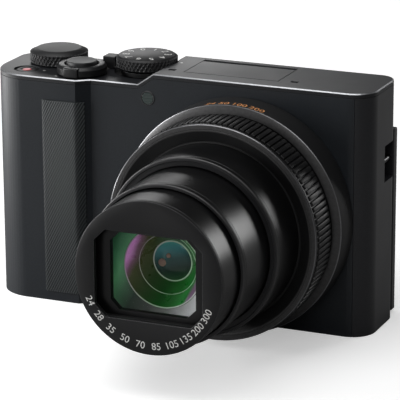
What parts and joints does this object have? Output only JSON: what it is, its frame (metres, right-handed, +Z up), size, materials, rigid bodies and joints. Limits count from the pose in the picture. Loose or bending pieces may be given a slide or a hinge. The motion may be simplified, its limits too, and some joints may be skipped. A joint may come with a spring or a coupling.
{
  "type": "compact digital camera",
  "caption": "Pocket travel-zoom camera with a telescoping lens run out, ribbed control ring, ridged dials, pop-up flash, rear screen and hinged battery door.",
  "frame": {"origin": "on the underside of the base, midway along the body's width and midway between its flat front and back planes", "axes": "+X to the viewer's right when facing the lens, +Y from the lens towards the back screen, +Z up from the base"},
  "size_m": [0.1098, 0.0862, 0.0681],
  "materials": {
    "front_shell": "satin",
    "dark_shell": "satin",
    "deck_shell": "satin",
    "grip_rubber": "fine ridged",
    "frame_metal": "cast",
    "plain_steel": "plain",
    "dark_trim": "satin",
    "lamp_clear": "ribbed clear",
    "black_screw": "blackened",
    "ring_black": "black anodised",
    "barrel_black": "satin",
    "plate_black": "satin",
    "blade_black": "matt",
    "coated_glass": "coated",
    "sensor_glass": "glossy",
    "board_green": "lacquered",
    "control_black": "black anodised",
    "button_black": "semi-gloss",
    "record_red": "semi-gloss",
    "flash_clear": "ribbed clear",
    "screen_black": "polished",
    "case_grey": "moulded",
    "battery_dark": "moulded",
    "card_blue": "moulded"
  },
  "bodies": {
    "camera_body": {"front_cover": "front_shell", "rear_cover": "dark_shell", "top_cover": "deck_shell", "end_cover": "dark_shell", "base_plate": "dark_shell", "grip_pad": "grip_rubber", "chassis": "frame_metal", "strap_bars": "plain_steel", "lamp_bezel": "dark_trim", "lamp_lens": "lamp_clear", "tripod_bush": "plain_steel", "base_screws": "black_screw", "hinge_pins": "plain_steel", "base_ring": "front_shell", "guide_tube": "dark_trim", "sensor": "sensor_glass", "main_board": "board_green", "flash_well": "dark_trim", "screen_frame": "dark_trim", "screen_glass": "screen_black", "eyepiece_frame": "dark_trim", "eyepiece_lens": "coated_glass", "thumb_rest": "grip_rubber", "battery_case": "case_grey", "port_block": "plain_steel"},
    "control_ring": {"control_ring": "ring_black"},
    "first_barrel": {"barrel_1": "barrel_black"},
    "second_barrel": {"barrel_2": "barrel_black", "rear_glass": "coated_glass"},
    "third_barrel": {"barrel_3": "barrel_black", "front_plate": "plate_black", "window_frame": "plate_black", "front_glass": "coated_glass"},
    "upper_inner_blade": {"blade_upper_inner": "blade_black"},
    "upper_outer_blade": {"blade_upper_outer": "blade_black"},
    "lower_inner_blade": {"blade_lower_inner": "blade_black"},
    "lower_outer_blade": {"blade_lower_outer": "blade_black"},
    "zoom_lever": {"zoom_lever": "control_black"},
    "shutter_button": {"shutter_button": "button_black"},
    "mode_dial": {"mode_dial": "control_black"},
    "power_lever": {"power_lever": "control_black"},
    "rear_dial": {"rear_dial": "control_black"},
    "record_button": {"record_button": "record_red"},
    "flash": {"flash_head": "deck_shell", "flash_lens": "flash_clear"},
    "flash_slider": {"flash_slider": "button_black"},
    "focus_wheel": {"focus_wheel": "button_black"},
    "view_button": {"view_button": "button_black"},
    "lock_button": {"lock_button": "button_black"},
    "play_button": {"play_button": "button_black"},
    "menu_button": {"menu_button": "button_black"},
    "return_button": {"return_button": "button_black"},
    "cursor_dial": {"cursor_dial": "button_black"},
    "set_button": {"set_button": "button_black"},
    "battery": {"battery": "battery_dark"},
    "memory_card": {"memory_card": "card_blue"},
    "battery_door": {"battery_door": "dark_shell"},
    "door_latch": {"door_latch": "button_black"},
    "port_door": {"port_door": "dark_shell"}
  },
  "joints": [
    {"name": "control_ring_turn", "type": "hinge", "parent": "camera_body", "child": "control_ring", "pos_m": [0.0193, 0, 0.0315], "axis": [0, -1, 0], "continuous": true},
    {"name": "first_barrel_slide", "type": "slide", "parent": "camera_body", "child": "first_barrel", "axis": [0, 1, 0], "range_m": [0, 0.0122]},
    {"name": "second_barrel_slide", "type": "slide", "parent": "first_barrel", "child": "second_barrel", "axis": [0, 1, 0], "range_m": [0, 0.0157]},
    {"name": "third_barrel_slide", "type": "slide", "parent": "second_barrel", "child": "third_barrel", "axis": [0, 1, 0], "range_m": [0, 0.0106]},
    {"name": "upper_inner_blade_slide", "type": "slide", "parent": "third_barrel", "child": "upper_inner_blade", "axis": [0, 0, -1], "range_m": [0, 0.0112]},
    {"name": "upper_outer_blade_slide", "type": "slide", "parent": "third_barrel", "child": "upper_outer_blade", "axis": [0, 0, -1], "range_m": [0, 0.0057]},
    {"name": "lower_inner_blade_slide", "type": "slide", "parent": "third_barrel", "child": "lower_inner_blade", "axis": [0, 0, 1], "range_m": [0, 0.0113]},
    {"name": "lower_outer_blade_slide", "type": "slide", "parent": "third_barrel", "child": "lower_outer_blade", "axis": [0, 0, 1], "range_m": [0, 0.0057]},
    {"name": "zoom_lever_turn", "type": "hinge", "parent": "camera_body", "child": "zoom_lever", "pos_m": [-0.03, -0.0057, 0.065], "axis": [0, 0, 1], "range_deg": [-20, 20], "stiffness_Nm_per_rad": 0.02},
    {"name": "shutter_press", "type": "slide", "parent": "camera_body", "child": "shutter_button", "axis": [0, 0, -1], "range_m": [0, 0.0012], "stiffness_N_per_m": 400},
    {"name": "mode_dial_turn", "type": "hinge", "parent": "camera_body", "child": "mode_dial", "pos_m": [-0.0146, 0.0032, 0.066], "axis": [0, 0, 1], "continuous": true},
    {"name": "power_lever_turn", "type": "hinge", "parent": "camera_body", "child": "power_lever", "pos_m": [-0.0146, 0.0032, 0.064], "axis": [0, 0, 1], "range_deg": [-25, 0]},
    {"name": "rear_dial_turn", "type": "hinge", "parent": "camera_body", "child": "rear_dial", "pos_m": [-0.0416, 0.004, 0.065], "axis": [0, 0, 1], "continuous": true},
    {"name": "record_press", "type": "slide", "parent": "camera_body", "child": "record_button", "axis": [0, 0, -1], "range_m": [0, 0.0005], "stiffness_N_per_m": 400},
    {"name": "flash_lift", "type": "hinge", "parent": "camera_body", "child": "flash", "pos_m": [0.0137, 0.007, 0.0649], "axis": [-1, 0, 0], "range_deg": [0, 60]},
    {"name": "flash_slider_slide", "type": "slide", "parent": "camera_body", "child": "flash_slider", "axis": [-1, 0, 0], "range_m": [0, 0.002], "stiffness_N_per_m": 150},
    {"name": "focus_wheel_turn", "type": "hinge", "parent": "camera_body", "child": "focus_wheel", "pos_m": [0.0264, 0.00995, 0.055], "axis": [0, 0, 1], "range_deg": [-150, 150]},
    {"name": "view_press", "type": "slide", "parent": "camera_body", "child": "view_button", "axis": [0, -1, 0], "range_m": [0, 0.0006], "stiffness_N_per_m": 300},
    {"name": "lock_press", "type": "slide", "parent": "camera_body", "child": "lock_button", "axis": [0, -1, 0], "range_m": [0, 0.0006], "stiffness_N_per_m": 300},
    {"name": "play_press", "type": "slide", "parent": "camera_body", "child": "play_button", "axis": [0, -1, 0], "range_m": [0, 0.0006], "stiffness_N_per_m": 300},
    {"name": "menu_press", "type": "slide", "parent": "camera_body", "child": "menu_button", "axis": [0, -1, 0], "range_m": [0, 0.0006], "stiffness_N_per_m": 300},
    {"name": "return_press", "type": "slide", "parent": "camera_body", "child": "return_button", "axis": [0, -1, 0], "range_m": [0, 0.0006], "stiffness_N_per_m": 300},
    {"name": "cursor_dial_turn", "type": "hinge", "parent": "camera_body", "child": "cursor_dial", "pos_m": [-0.0375, 0.011, 0.025], "axis": [0, 1, 0], "continuous": true},
    {"name": "set_press", "type": "slide", "parent": "camera_body", "child": "set_button", "axis": [0, -1, 0], "range_m": [0, 0.0006], "stiffness_N_per_m": 300},
    {"name": "battery_door_turn", "type": "hinge", "parent": "camera_body", "child": "battery_door", "pos_m": [-0.0096, 0, 0.0009], "axis": [0, -1, 0], "range_deg": [0, 95]},
    {"name": "battery_eject", "type": "slide", "parent": "camera_body", "child": "battery", "axis": [0, 0, -1], "range_m": [0, 0.0062]},
    {"name": "card_eject", "type": "slide", "parent": "camera_body", "child": "memory_card", "axis": [0, 0, -1], "range_m": [0, 0.0031]},
    {"name": "door_latch_slide", "type": "slide", "parent": "battery_door", "child": "door_latch", "axis": [-1, 0, 0], "range_m": [0, 0.0022]},
    {"name": "port_door_turn", "type": "hinge", "parent": "camera_body", "child": "port_door", "pos_m": [-0.0542, 0.004, 0.023], "axis": [0, 0, -1], "range_deg": [0, 95]}
  ],
  "couplings": [
    {"joint": "second_barrel_slide", "follows": "first_barrel_slide", "ratio": 1.2787},
    {"joint": "third_barrel_slide", "follows": "first_barrel_slide", "ratio": 0.8607},
    {"joint": "upper_outer_blade_slide", "follows": "upper_inner_blade_slide", "ratio": 0.5},
    {"joint": "lower_inner_blade_slide", "follows": "upper_inner_blade_slide", "ratio": 1},
    {"joint": "lower_outer_blade_slide", "follows": "upper_inner_blade_slide", "ratio": 0.5},
    {"joint": "battery_door_turn", "follows": "battery_eject", "rad_per_m": 267.42},
    {"joint": "card_eject", "follows": "battery_eject", "ratio": 0.4865}
  ]
}
